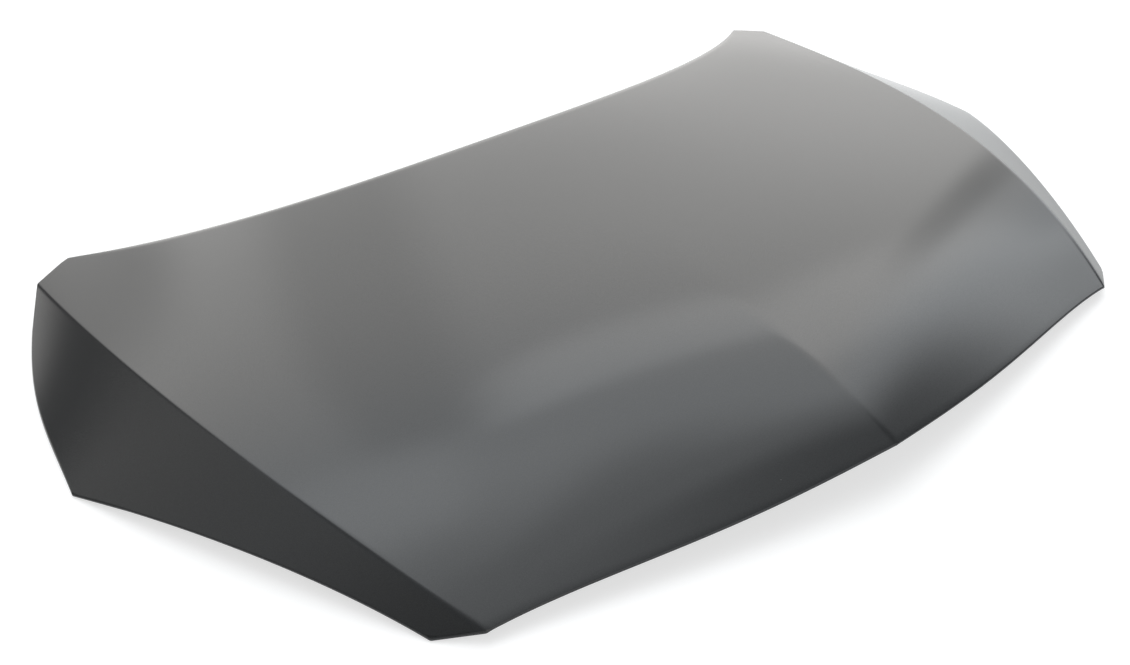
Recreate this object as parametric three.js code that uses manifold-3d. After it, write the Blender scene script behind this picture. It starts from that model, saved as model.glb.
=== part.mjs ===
import * as THREE from 'three';
import { mergeVertices } from 'three/addons/utils/BufferGeometryUtils.js';
import Module from 'manifold-3d';

const wasm = await Module();
wasm.setup();

// All sizes are in millimetres. X runs across the car, Y from the tip of the nose towards the
// windscreen and Z up. A bow bends the straight run between two sizes: its three numbers are the
// bend at the start, in the middle and at the end of the run, and 0 keeps it straight.

// Plan of the right half of the outer panel, corner by corner from the nose.
const creaseFrontX = 469;
const creaseFrontY = 77;
const frontEdgeBow = [-19, -38, 28];
const frontChamferX = 45;
const frontChamferY = 33;
const frontCornerX = creaseFrontX + frontChamferX;
const frontCornerY = creaseFrontY + frontChamferY;
const creaseRearX = 661;
const creaseRearY = 944;
const flankSweepX = 79;
const flankSweepY = 413;
const outerCornerX = creaseRearX + flankSweepX;
const outerCornerY = creaseRearY - flankSweepY;
const lowerEdgeBow = [-14, -2, 1.5];
const rearFlankBow = [56, 122, 114];
const rearChamferX = 51;
const rearChamferY = 28;
const rearCornerX = creaseRearX - rearChamferX;
const rearCornerY = creaseRearY + rearChamferY;
const rearSweep = 179.5;
const rearCentreY = rearCornerY - rearSweep;
const rearEdgeFullness = 0.54;
const outlineRadius = 7;

// Height of the outer face over the floor that the lower corners stand on.
const noseHeight = 50;
const rearHeight = 104;
const centreBow = [235, 29, 49];
const creaseFrontHeight = 11;
const creaseRearHeight = 33;
const creaseHeightBow = [253, 163, 98];
const creasePlanBow = [201, 131, 117];
const flankSlopeFront = 0.709;
const flankSlopeRear = 0.679;
const flankSlopeBow = [-0.592, -1.22, -0.27];
const flankHollowRadius = 4170;
const noseCreaseLength = 610;
const rearRollWidth = 14;
const rearRollDrop = 1.4;

// Sheets, and the hem in which the outer sheet is folded round the edge of the inner one.
const skinThickness = 0.75;
const frameThickness = 0.7;
const seatGap = 0.35;
const hemReturn = 10;

// Inner frame: a flange in the hem, a rim that steps down to the floor, and windows whose edges
// rise again to a land close under the outer sheet.
const flangeWidth = 14;
const rimStepWidth = 14;
const rimStepDepth = 9;
const rimStepRadius = 14;
const rimWidth = 60;
const floorRadius = 21;
const floorDepth = 20;
const ribHalfWidth = 33;
const landWidth = 13;
const landRampWidth = 11;
const landDepth = 4.6;
const windowColumns = 3;
const windowRows = 2;
const windowFrontV = 0.18;
const windowRearV = 0.88;
const windowSideU = 0.84;
const windowRadius = 30;
const windowSwell = 2;
const ribHoleRadius = 8;
const propSlotRadius = 8;
const propSlotLength = 30;
const propSlotX = -300;
const propSlotY = 145;

// Flat pads for the hinges and the latch, with the plates and nuts behind them.
const hingePadInset = 73;
const hingePadAhead = 146;
const hingePadWidth = 50;
const hingePadLength = 108;
const hingeBoltSpacing = 70;
const hingeBoltRadius = 4.5;
const hingePlateThickness = 1.8;
const latchPadY = 102;
const latchPadWidth = 120;
const latchPadLength = 50;
const latchPlateThickness = 1.5;
const padRise = 2;
const padRamp = 6;
const padRadius = 12;
const plateMargin = 5;
const nutAcrossFlats = 13;
const nutHeight = 8;

// Striker: a bent round bar whose two legs go through the latch pad and its plate.
const strikerBarRadius = 3.75;
const strikerLegSpacing = 46;
const strikerDrop = 44;
const strikerBendRadius = 10;
const strikerStub = 3;
const strikerHoleClearance = 2;

// Mastic drops that glue the window lands to the outer sheet.
const dropRadius = 6;
const dropClearance = 0.4;

// Fineness of the faceted surfaces.
const mainColumns = 8;
const flankColumns = 4;
const panelRows = 20;
const rowGrading = 1.2;
const cornerSteps = 3;
const frontSteps = 9;
const lowerSteps = 12;
const flankSteps = 11;
const rearSteps = 11;
const windowEdgeSteps = 2;
const ribParts = 2;
const holeSides = 12;
const dropSides = 8;
const barSides = 10;
const barSteps = 14;
const halvings = 24;
const leastPart = 0.03;
const samePlace = 0.01;
const angleSlack = 1e-6;
const slopeStep = 1;
const cutBelow = 150;
const cutHeight = 400;

const ecoat = new THREE.MeshStandardMaterial({ color: 0x4a4c4d, roughness: 0.42, metalness: 0.2 });
const ecoatInside = new THREE.MeshStandardMaterial({ color: 0x3a3c3d, roughness: 0.55, metalness: 0.2 });
const plated = new THREE.MeshStandardMaterial({ color: 0x9a9c98, roughness: 0.35, metalness: 0.9 });
const mastic = new THREE.MeshStandardMaterial({ color: 0x2a2a28, roughness: 0.9, metalness: 0 });

function bowed(t, start, end, bow) {
  const bend = bow[0] * (1 - t) ** 2 + 2 * bow[1] * t * (1 - t) + bow[2] * t * t;
  return start + (end - start) * t + t * (1 - t) * bend;
}

// The outer face as a height over the plan. The crease line divides the crowned main panel from
// the flank, and near the nose the crown turns into a roof with a ridge on the centre line.
function alongCrease(y) {
  return (y - creaseFrontY) / (creaseRearY - creaseFrontY);
}

function creaseX(y) {
  return bowed(alongCrease(y), creaseFrontX, creaseRearX, creasePlanBow);
}

function creaseZ(y) {
  return bowed(alongCrease(y), creaseFrontHeight, creaseRearHeight, creaseHeightBow);
}

function centreZ(y) {
  return bowed(y / rearCentreY, noseHeight, rearHeight, centreBow);
}

function rearEdgeY(x) {
  const share = (x / rearCornerX) ** 2;
  const sweep = rearEdgeFullness * share + (1 - rearEdgeFullness) * share * share;
  return rearCentreY + (rearCornerY - rearCentreY) * sweep;
}

function rearRoll(x, y) {
  const into = Math.max(0, 1 - (rearEdgeY(x) - y) / rearRollWidth);
  const fade = Math.max(0, 1 - (x / rearCornerX) ** 6);
  return rearRollDrop * fade * into * into;
}

function outerHeight(x, y) {
  const out = Math.abs(x) - creaseX(y);
  if (out > 0) {
    const slope = bowed(alongCrease(y), flankSlopeFront, flankSlopeRear, flankSlopeBow);
    return creaseZ(y) - slope * out + (out * out) / (2 * flankHollowRadius);
  }
  const share = Math.abs(x) / creaseX(y);
  const ridge = Math.max(0, 1 - y / noseCreaseLength) ** 2;
  const fall = ridge * share + (1 - ridge) * share * share;
  return centreZ(y) - (centreZ(y) - creaseZ(y)) * fall - rearRoll(x, y);
}

function slopes(x, y) {
  return new THREE.Vector2(
    (outerHeight(x + slopeStep, y) - outerHeight(x - slopeStep, y)) / (2 * slopeStep),
    (outerHeight(x, y + slopeStep) - outerHeight(x, y - slopeStep)) / (2 * slopeStep),
  );
}

// Height of a point that lies a given depth under the outer face, square to it.
function heightAtDepth(x, y, depth) {
  const slope = slopes(x, y);
  return outerHeight(x, y) - depth * Math.hypot(1, slope.x, slope.y);
}

// The outline as edges that run anticlockwise from the nose, each a function of its share t. Every
// ring has a point where the crease crosses one of the creased edges.
function edge(run, steps, creased = false) {
  return { run, steps, creased };
}

function straightEdge(startX, startY, endX, endY) {
  const start = new THREE.Vector2(startX, startY);
  const end = new THREE.Vector2(endX, endY);
  return edge((t) => start.clone().lerp(end, t), 1);
}

function bowedEdge(startX, startY, endX, endY, bow, steps) {
  const run = (t) => new THREE.Vector2(bowed(t, startX, endX, bow), startY + (endY - startY) * t);
  return edge(run, steps);
}

const isCreased = (plain) => edge(plain.run, plain.steps, true);

const frontRun = (t) => new THREE.Vector2(creaseFrontX * t, bowed(t, 0, creaseFrontY, frontEdgeBow));
const rearRun = (t) => new THREE.Vector2(rearCornerX * (1 - t), rearEdgeY(rearCornerX * (1 - t)));
const rightEdges = [
  edge(frontRun, frontSteps),
  isCreased(straightEdge(creaseFrontX, creaseFrontY, frontCornerX, frontCornerY)),
  bowedEdge(frontCornerX, frontCornerY, outerCornerX, outerCornerY, lowerEdgeBow, lowerSteps),
  isCreased(bowedEdge(outerCornerX, outerCornerY, creaseRearX, creaseRearY, rearFlankBow, flankSteps)),
  straightEdge(creaseRearX, creaseRearY, rearCornerX, rearCornerY),
  edge(rearRun, rearSteps),
];

function mirroredEdge(original) {
  const run = (t) => {
    const point = original.run(1 - t);
    return new THREE.Vector2(-point.x, point.y);
  };
  return edge(run, original.steps, original.creased);
}

const outlineEdges = [...rightEdges, ...rightEdges.map(mirroredEdge).reverse()];

function direction(run, t) {
  const step = t < 0.5 ? 0.001 : -0.001;
  return run(t + step).sub(run(t)).multiplyScalar(Math.sign(step)).normalize();
}

function insetPoint(run, t, inset) {
  const way = direction(run, t);
  return run(t).add(new THREE.Vector2(-way.y, way.x).multiplyScalar(inset));
}

// The share at which the ring inside an edge crosses the crease, found by halving.
function creaseCrossing(run, from, to, inset) {
  const outside = (share) => {
    const point = insetPoint(run, THREE.MathUtils.lerp(from, to, share), inset);
    return Math.abs(point.x) > creaseX(point.y);
  };
  let [low, high] = [0, 1];
  for (let k = 0; k < halvings; k += 1) {
    const middle = (low + high) / 2;
    if (outside(middle) === outside(0)) {
      low = middle;
    } else {
      high = middle;
    }
  }
  return THREE.MathUtils.lerp(from, to, THREE.MathUtils.clamp(low, leastPart, 1 - leastPart));
}

// Even shares along an edge. A creased edge gets one more, next to the corner that the crease ends in.
function samples(current, first, last, inset) {
  const step = (last - first) / current.steps;
  const shares = Array.from({ length: current.steps + 1 }, (_, k) => first + step * k);
  if (current.creased) {
    const endsAtCrease = Math.abs(current.run(1).x) < Math.abs(current.run(0).x);
    const [from, to] = endsAtCrease ? shares.slice(-2) : shares.slice(0, 2).reverse();
    shares.splice(endsAtCrease ? -1 : 1, 0, creaseCrossing(current.run, from, to, inset));
  }
  return shares;
}

// A closed ring that runs inside a chain of edges at a given distance, with rounded corners. Every
// ring of one chain has the same number of points, so two rings are joined by a plain strip.
function ringInside(edges, inset, radius, arcSteps) {
  const turns = edges.map((current, i) => {
    const next = edges[(i + 1) % edges.length];
    const out = direction(next.run, 0);
    return Math.asin(THREE.MathUtils.clamp(direction(current.run, 1).cross(out), -1, 1));
  });
  const lengths = edges.map((current) => current.run(0).distanceTo(current.run(1)));
  const cutback = (i) => inset * Math.tan(turns[i] / 2);
  const rounding = (i) => radius * Math.abs(Math.tan(turns[i] / 2));
  const ring = [];
  edges.forEach((current, i) => {
    const before = (i + edges.length - 1) % edges.length;
    const next = edges[(i + 1) % edges.length];
    const first = (cutback(before) + rounding(before)) / lengths[i];
    const last = 1 - (cutback(i) + rounding(i)) / lengths[i];
    for (const t of samples(current, first, last, inset)) {
      ring.push(insetPoint(current.run, t, inset));
    }
    const corner = insetPoint(current.run, 1 - cutback(i) / lengths[i], inset);
    corner.add(insetPoint(next.run, cutback(i) / lengths[(i + 1) % edges.length], inset)).multiplyScalar(0.5);
    const nextFirst = (cutback(i) + rounding(i)) / lengths[(i + 1) % edges.length];
    const arc = new THREE.QuadraticBezierCurve(ring.at(-1), corner, insetPoint(next.run, nextFirst, inset));
    for (let k = 1; k < arcSteps; k += 1) {
      ring.push(arc.getPoint(k / arcSteps));
    }
  });
  return ring;
}

function outlineRing(inset, radius = outlineRadius) {
  return ringInside(outlineEdges, inset, radius, cornerSteps);
}

// A ring inside a polygon whose sides swell outwards a little in their middle.
function polygonRing(corners, inset, radius, edgeSteps, swell = 0) {
  const edges = corners.map((corner, i) => {
    const next = corners[(i + 1) % corners.length];
    const outward = new THREE.Vector2(next.y - corner.y, corner.x - next.x).normalize();
    const run = (t) => corner.clone().lerp(next, t).addScaledVector(outward, 4 * swell * t * (1 - t));
    return edge(run, edgeSteps);
  });
  return ringInside(edges, inset, radius, cornerSteps);
}

function circleRing(centre, radius, sides = holeSides) {
  return Array.from({ length: sides }, (_, k) => {
    const angle = (2 * Math.PI * (k + 0.5)) / sides;
    return new THREE.Vector2(centre.x + radius * Math.cos(angle), centre.y + radius * Math.sin(angle));
  });
}

// Solids for the joins and cuts.
function solidFrom(geometry) {
  const bare = geometry.clone();
  bare.deleteAttribute('normal');
  bare.deleteAttribute('uv');
  const merged = mergeVertices(bare, 1e-4);
  const vertProperties = new Float32Array(merged.attributes.position.array);
  const triVerts = new Uint32Array(merged.index.array);
  return new wasm.Manifold(new wasm.Mesh({ numProp: 3, vertProperties, triVerts }));
}

function geometryFrom(solid) {
  const mesh = solid.getMesh();
  const geometry = new THREE.BufferGeometry();
  geometry.setAttribute('position', new THREE.BufferAttribute(mesh.vertProperties, 3));
  geometry.setIndex(new THREE.BufferAttribute(mesh.triVerts, 1));
  geometry.computeVertexNormals();
  return geometry;
}

function indexedGeometry(positions, faces) {
  const geometry = new THREE.BufferGeometry();
  geometry.setAttribute('position', new THREE.Float32BufferAttribute(positions, 3));
  geometry.setIndex(faces);
  return geometry;
}

// A four-sided patch of this crowned panel is split along the diagonal that stands higher.
function isRidge(a, b, c, d) {
  return a + c > b + d;
}

// A block between two depths under the outer face, wider than the panel all round. Its columns
// follow the centre line and the crease, and its rows follow the front and the rear edge.
function panelRowsAlong() {
  const roll = rearRollWidth / rearCentreY;
  const rows = [-roll];
  for (let k = 0; k <= panelRows; k += 1) {
    rows.push((1 - roll) * (k / panelRows) ** rowGrading);
  }
  return [...rows, 1 - (roll * 2) / 3, 1 - roll / 3, 1, 1 + roll];
}

function panelColumnsAcross() {
  const columns = [];
  for (let k = -mainColumns - flankColumns; k <= mainColumns + flankColumns; k += 1) {
    const main = THREE.MathUtils.clamp(k / mainColumns, -1, 1);
    columns.push(main + (k / mainColumns - main) * (mainColumns / flankColumns));
  }
  return columns;
}

const flankReach = outerCornerX - creaseX(outerCornerY) + 2 * rearRollWidth;

function panelPoint(u, v) {
  const side = Math.min(Math.abs(u), 1);
  const y = THREE.MathUtils.lerp(frontRun(side).y, rearEdgeY(side * creaseRearX), v);
  const flank = Math.max(0, Math.abs(u) - 1) * flankReach;
  return new THREE.Vector2(Math.sign(u) * (side * creaseX(y) + flank), y);
}

function sheetBlock(topDepth, bottomDepth) {
  const columns = panelColumnsAcross();
  const rows = panelRowsAlong();
  const positions = [];
  const faces = [];
  for (const depth of [topDepth, bottomDepth]) {
    for (const v of rows) {
      for (const u of columns) {
        const { x, y } = panelPoint(u, v);
        positions.push(x, y, heightAtDepth(x, y, depth));
      }
    }
  }
  const layer = rows.length * columns.length;
  const quad = (a, b, c, d, ridge = true) => faces.push(...(ridge ? [a, b, c, a, c, d] : [a, b, d, b, c, d]));
  for (let row = 0; row < rows.length - 1; row += 1) {
    for (let column = 0; column < columns.length - 1; column += 1) {
      const a = row * columns.length + column;
      const b = a + 1;
      const c = b + columns.length;
      const d = a + columns.length;
      const ridge = isRidge(...[a, b, c, d].map((n) => outerHeight(positions[3 * n], positions[3 * n + 1])));
      quad(a, b, c, d, ridge);
      quad(layer + d, layer + c, layer + b, layer + a, !ridge);
    }
    const left = row * columns.length;
    const right = left + columns.length - 1;
    quad(left, left + columns.length, layer + left + columns.length, layer + left);
    quad(right, layer + right, layer + right + columns.length, right + columns.length);
  }
  for (let column = 0; column < columns.length - 1; column += 1) {
    const back = (rows.length - 1) * columns.length + column;
    quad(column, layer + column, layer + column + 1, column + 1);
    quad(back, back + 1, layer + back + 1, layer + back);
  }
  return solidFrom(indexedGeometry(positions, faces));
}

function prism(ring) {
  const settings = { depth: cutHeight, bevelEnabled: false };
  const geometry = new THREE.ExtrudeGeometry(new THREE.Shape(ring), settings);
  geometry.translate(0, 0, -cutBelow);
  return solidFrom(geometry);
}

// Outer skin: one sheet, folded back under itself all round to leave a pocket for the frame.
const hemDepth = 2 * skinThickness + 2 * seatGap + frameThickness;

function outerSkin() {
  const blank = sheetBlock(0, hemDepth).intersect(prism(outlineRing(0)));
  const pocketRing = outlineRing(skinThickness);
  const pocket = sheetBlock(skinThickness, hemDepth - skinThickness).intersect(prism(pocketRing));
  const openingRing = outlineRing(skinThickness + hemReturn);
  const opening = sheetBlock(skinThickness, 2 * hemDepth).intersect(prism(openingRing));
  return geometryFrom(blank.subtract(pocket.add(opening)));
}

// A pressed sheet is drawn ring by ring. Each ring has a point on the upper face and one on the
// lower face, whose plan may lie a little aside so that a steep ramp keeps its thickness.
class Pressing {
  constructor(thickness) {
    this.thickness = thickness;
    this.upper = [];
    this.lower = [];
    this.faces = [];
  }

  // Two rings that meet in the same place of the plan share their point there.
  ring(plan, heightAt, lowerPlan = plan) {
    return plan.map((point, k) => {
      const known = this.upper.findIndex(({ x, y }) => Math.hypot(x - point.x, y - point.y) < samePlace);
      if (known >= 0) {
        return known;
      }
      const below = lowerPlan[k];
      this.lower.push(new THREE.Vector3(below.x, below.y, heightAt(below.x, below.y, this.thickness)));
      return this.upper.push(new THREE.Vector3(point.x, point.y, heightAt(point.x, point.y, 0))) - 1;
    });
  }

  strip(outer, inner) {
    outer.forEach((a, k) => {
      const [b, c, d] = [outer[(k + 1) % outer.length], inner[(k + 1) % outer.length], inner[k]];
      const ridge = isRidge(...[a, b, c, d].map((n) => this.upper[n].z));
      const pair = ridge ? [[a, b, c], [a, c, d]] : [[a, b, d], [b, c, d]];
      this.faces.push(...pair.filter((face) => new Set(face).size === 3));
    });
  }

  fill(line, holes) {
    const contour = line.filter((point, k) => point !== line.at(k - 1));
    const plan = (ring) => ring.map((k) => new THREE.Vector2(this.upper[k].x, this.upper[k].y));
    const all = [contour, ...holes].flat();
    const triangles = THREE.ShapeUtils.triangulateShape(plan(contour), holes.map(plan));
    const faces = triangles.map((triangle) => {
      const [a, b, c] = triangle.map((n) => all[n]);
      return this.turn(a, b, c) > 0 ? [a, b, c] : [a, c, b];
    });
    let swapped = true;
    while (swapped) {
      swapped = this.swapOne(faces);
    }
    this.faces.push(...faces);
  }

  turn(a, b, c) {
    const [p, q, r] = [a, b, c].map((n) => this.upper[n]);
    return (q.x - p.x) * (r.y - p.y) - (q.y - p.y) * (r.x - p.x);
  }

  // The angle at c over the edge from a to b, in plan.
  angleOver(a, b, c) {
    const [p, q, r] = [a, b, c].map((n) => new THREE.Vector2(this.upper[n].x, this.upper[n].y));
    return p.sub(r).angleTo(q.sub(r));
  }

  // Swaps an edge that two triangles share where the angles over it come to more than half a turn,
  // and says whether it found one. A wide fill then gets no long thin triangles.
  swapOne(faces) {
    const owners = new Map();
    faces.forEach((face, n) => face.forEach((a, k) => owners.set(`${a} ${face[(k + 1) % 3]}`, n)));
    for (const [n, face] of faces.entries()) {
      for (const [k, a] of face.entries()) {
        const [b, c] = [face[(k + 1) % 3], face[(k + 2) % 3]];
        const other = owners.get(`${b} ${a}`);
        const d = faces[other]?.find((point) => point !== a && point !== b);
        if (d !== undefined && this.angleOver(a, b, c) + this.angleOver(a, b, d) > Math.PI + angleSlack) {
          faces[n] = [a, d, c];
          faces[other] = [d, b, c];
          return true;
        }
      }
    }
    return false;
  }

  solid() {
    const count = this.upper.length;
    const positions = [...this.upper, ...this.lower].flatMap((point) => point.toArray());
    const borders = new Map();
    const faces = [];
    for (const [a, b, c] of this.faces) {
      faces.push(a, b, c, count + c, count + b, count + a);
      for (const [from, to] of [[a, b], [b, c], [c, a]]) {
        if (!borders.delete(`${to} ${from}`)) {
          borders.set(`${from} ${to}`, [from, to]);
        }
      }
    }
    for (const [from, to] of borders.values()) {
      faces.push(from, count + from, count + to, from, count + to, to);
    }
    return indexedGeometry(positions, faces);
  }
}

// A pad is a flat place in the frame floor, tangent to the floor at its centre and a little higher.
function pad(x, y, width, length) {
  const slope = slopes(x, y);
  const height = heightAtDepth(x, y, floorDepth - padRise);
  const corner = (sideX, sideY) => new THREE.Vector2(x + (sideX * width) / 2, y + (sideY * length) / 2);
  const corners = [corner(-1, -1), corner(1, -1), corner(1, 1), corner(-1, 1)];
  const normal = new THREE.Vector3(-slope.x, -slope.y, 1).normalize();
  const planeHeight = (px, py, below = 0) =>
    height + slope.x * (px - x) + slope.y * (py - y) - below / normal.z;
  return { centre: new THREE.Vector2(x, y), corners, normal, planeHeight };
}

const hingePadX = creaseRearX - hingePadInset;
const hingePadY = creaseRearY - hingePadAhead;
const hingePads = [-1, 1].map((side) => pad(side * hingePadX, hingePadY, hingePadWidth, hingePadLength));
const latchPad = pad(0, latchPadY, latchPadWidth, latchPadLength);

function hingeBolts(hingePad) {
  return [-1, 1].map((end) => hingePad.centre.clone().setY(hingePad.centre.y + (end * hingeBoltSpacing) / 2));
}

function strikerLegs() {
  return [-1, 1].map((side) => new THREE.Vector2((side * strikerLegSpacing) / 2, latchPadY));
}

// Windows lie in a fan of cells between ribs of one width. A place in the fan is given in whole and
// part columns from the centre line and rows from the front.
function fanPoint(column, row) {
  const v = THREE.MathUtils.lerp(windowFrontV, windowRearV, row / windowRows);
  return panelPoint((windowSideU * column) / windowColumns, v);
}

// The closed line round a block of cells, anticlockwise, with a few points along each cell.
function fanLine(column, row, columns, rows) {
  const line = [];
  const side = (startColumn, startRow, columnStep, rowStep, length) => {
    for (let k = 0; k < length * ribParts; k += 1) {
      line.push(fanPoint(startColumn + (columnStep * k) / ribParts, startRow + (rowStep * k) / ribParts));
    }
  };
  side(column, row, 1, 0, columns);
  side(column + columns, row, 0, 1, rows);
  side(column + columns, row + rows, -1, 0, columns);
  side(column, row + rows, 0, -1, rows);
  return line;
}

function windowCells() {
  const cellCorners = [[0, 0], [1, 0], [1, 1], [0, 1]];
  const cells = [];
  for (let column = -windowColumns; column < windowColumns; column += 1) {
    for (let row = 0; row < windowRows; row += 1) {
      const corners = cellCorners.map(([across, along]) => fanPoint(column + across, row + along));
      cells.push({ corners, line: fanLine(column, row, 1, 1) });
    }
  }
  return cells;
}

function ribHoles() {
  const holes = [];
  for (let column = 1 - windowColumns; column < windowColumns; column += 1) {
    holes.push(circleRing(fanPoint(column, windowRows / 2), ribHoleRadius));
  }
  return holes;
}

// The slot that the tip of the prop rod goes into.
function propSlot() {
  const half = propSlotLength / 2 - propSlotRadius;
  const slot = new THREE.Shape();
  slot.absarc(propSlotX + half, propSlotY, propSlotRadius, -Math.PI / 2, Math.PI / 2);
  slot.absarc(propSlotX - half, propSlotY, propSlotRadius, Math.PI / 2, (3 * Math.PI) / 2);
  return slot.getPoints(holeSides / 2);
}

function innerFrame() {
  const sheet = new Pressing(frameThickness);
  const atDepth = (depth) => (x, y, below) => heightAtDepth(x, y, depth + below);
  const flangeDepth = skinThickness + seatGap;
  const floorPlan = outlineRing(rimWidth, floorRadius);
  const creasePlan = floorPlan.map(({ x, y }) => {
    return new THREE.Vector2(Math.sign(x) * Math.min(Math.abs(x), creaseX(y)), y);
  });
  const rim = [
    sheet.ring(outlineRing(skinThickness + seatGap), atDepth(flangeDepth)),
    sheet.ring(outlineRing(flangeWidth / 2), atDepth(flangeDepth)),
    sheet.ring(outlineRing(flangeWidth), atDepth(flangeDepth)),
    sheet.ring(outlineRing(flangeWidth + rimStepWidth, rimStepRadius), atDepth(rimStepDepth)),
    sheet.ring(floorPlan, atDepth(floorDepth)),
    sheet.ring(creasePlan, atDepth(floorDepth)),
  ];
  rim.slice(1).forEach((inner, k) => sheet.strip(rim[k], inner));
  const rampAside = frameThickness * Math.tan(Math.atan((floorDepth - landDepth) / landRampWidth) / 2);
  for (const { corners, line } of windowCells()) {
    const plan = (offset) => {
      return polygonRing(corners, ribHalfWidth - offset, windowRadius + offset, windowEdgeSteps, windowSwell);
    };
    const ring = (offset, depth, aside = 0) => sheet.ring(plan(offset), atDepth(depth), plan(offset - aside));
    const foot = ring(landWidth + landRampWidth, floorDepth, rampAside);
    const shoulder = ring(landWidth, landDepth, rampAside);
    sheet.fill(sheet.ring(line, atDepth(floorDepth)), [foot]);
    sheet.strip(foot, shoulder);
    sheet.strip(shoulder, ring(0, landDepth));
  }
  const fan = sheet.ring(fanLine(-windowColumns, 0, 2 * windowColumns, windowRows), atDepth(floorDepth));
  const addPad = (flat, centres, holeRadius) => {
    const holes = centres.map((centre) => circleRing(centre, holeRadius));
    const foot = sheet.ring(polygonRing(flat.corners, -padRamp, padRadius + padRamp, 1), atDepth(floorDepth));
    const top = sheet.ring(polygonRing(flat.corners, 0, padRadius, 1), flat.planeHeight);
    sheet.strip(foot, top);
    sheet.fill(top, holes.map((hole) => sheet.ring(hole, flat.planeHeight)));
    return foot;
  };
  const padFeet = [
    ...hingePads.map((flat) => addPad(flat, hingeBolts(flat), hingeBoltRadius)),
    addPad(latchPad, strikerLegs(), strikerBarRadius + strikerHoleClearance),
  ];
  sheet.fill(rim.at(-1), [fan, ...padFeet]);
  const cutters = [...ribHoles(), propSlot()].map(prism);
  return geometryFrom(solidFrom(sheet.solid()).subtract(wasm.Manifold.union(cutters)));
}

// Plates lie on the upper side of the pads, inside the closed section.
function padPlate(flat, thickness, holes) {
  const sheet = new Pressing(thickness);
  const raised = (x, y, below) => flat.planeHeight(x, y, below - seatGap - thickness);
  const edgeRing = sheet.ring(polygonRing(flat.corners, plateMargin, padRadius, 1), raised);
  sheet.fill(edgeRing, holes.map((hole) => sheet.ring(hole, raised)));
  return sheet.solid();
}

function weldNut() {
  const hexagon = new THREE.Shape(circleRing(new THREE.Vector2(), nutAcrossFlats / Math.sqrt(3), 6));
  hexagon.holes.push(new THREE.Path(circleRing(new THREE.Vector2(), hingeBoltRadius).reverse()));
  return new THREE.ExtrudeGeometry(hexagon, { depth: nutHeight, bevelEnabled: false });
}

function strikerLoop() {
  const half = strikerLegSpacing / 2;
  const top = latchPad.planeHeight(0, latchPadY) + seatGap + latchPlateThickness + strikerStub;
  const bottom = latchPad.planeHeight(0, latchPadY) - frameThickness - strikerDrop + strikerBarRadius;
  const route = new THREE.CurvePath();
  const at = (x, z) => new THREE.Vector3(x, latchPadY, z);
  const low = bottom + strikerBendRadius;
  const inset = half - strikerBendRadius;
  route.add(new THREE.LineCurve3(at(-half, top), at(-half, low)));
  route.add(new THREE.QuadraticBezierCurve3(at(-half, low), at(-half, bottom), at(-inset, bottom)));
  route.add(new THREE.LineCurve3(at(-inset, bottom), at(inset, bottom)));
  route.add(new THREE.QuadraticBezierCurve3(at(inset, bottom), at(half, bottom), at(half, low)));
  route.add(new THREE.LineCurve3(at(half, low), at(half, top)));
  const section = new THREE.Shape(circleRing(new THREE.Vector2(), strikerBarRadius, barSides));
  return new THREE.ExtrudeGeometry(section, { extrudePath: route, steps: barSteps, bevelEnabled: false });
}

// Drops of mastic on the two long sides of every window land.
function masticPlaces() {
  return windowCells().flatMap(({ corners }) => {
    const across = ribHalfWidth - landWidth / 2;
    return [[0, 3], [1, 2]].map(([front, rear], side) => {
      const centre = corners[front].clone().lerp(corners[rear], 0.5);
      const way = corners[rear].clone().sub(corners[front]).normalize();
      const inward = new THREE.Vector2(way.y, -way.x).multiplyScalar(side === 0 ? across : -across);
      return centre.add(inward);
    });
  });
}

function masticDrop() {
  const half = (landDepth - skinThickness) / 2 - dropClearance;
  const profile = [[0, -half], [dropRadius, -half], [dropRadius, half], [0, half]];
  const points = profile.map(([x, y]) => new THREE.Vector2(x, y));
  return new THREE.LatheGeometry(points, dropSides).rotateX(Math.PI / 2);
}

const model = new THREE.Group();

function addPiece(name, geometry, material) {
  const piece = new THREE.Mesh(geometry, material);
  piece.name = name;
  model.add(piece);
  return piece;
}

addPiece('outer_skin', outerSkin(), ecoat);
addPiece('inner_frame', innerFrame(), ecoatInside);

const up = new THREE.Vector3(0, 0, 1);
['left', 'right'].forEach((side, k) => {
  const flat = hingePads[k];
  const holes = hingeBolts(flat).map((centre) => circleRing(centre, hingeBoltRadius));
  addPiece(`hinge_plate_${side}`, padPlate(flat, hingePlateThickness, holes), ecoatInside);
  hingeBolts(flat).forEach((centre, end) => {
    const nut = addPiece(`hinge_nut_${side}_${end === 0 ? 'front' : 'rear'}`, weldNut(), plated);
    nut.position.set(centre.x, centre.y, flat.planeHeight(centre.x, centre.y));
    nut.position.addScaledVector(flat.normal, 2 * seatGap + hingePlateThickness);
    nut.quaternion.setFromUnitVectors(up, flat.normal);
  });
});

const plateHole = strikerBarRadius + seatGap;
const plateHoles = strikerLegs().map((centre) => circleRing(centre, plateHole));
addPiece('latch_plate', padPlate(latchPad, latchPlateThickness, plateHoles), ecoatInside);
addPiece('striker_loop', strikerLoop(), plated);

masticPlaces().forEach((place, k) => {
  const drop = addPiece(`mastic_drop_${String(k + 1).padStart(2, '0')}`, masticDrop(), mastic);
  const slope = slopes(place.x, place.y);
  const normal = new THREE.Vector3(-slope.x, -slope.y, 1).normalize();
  drop.position.set(place.x, place.y, outerHeight(place.x, place.y));
  drop.position.addScaledVector(normal, -(landDepth + skinThickness) / 2);
  drop.quaternion.setFromUnitVectors(up, normal);
});

// The part stands on its lower corners, with its origin under the middle of its plan.
const extent = new THREE.Box3().setFromObject(model);
model.position.set(0, -(extent.min.y + extent.max.y) / 2, -extent.min.z);

export default model;
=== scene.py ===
import bmesh
import bpy
import numpy as np
from mathutils import Matrix, Vector
from mathutils.geometry import delaunay_2d_cdt


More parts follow.
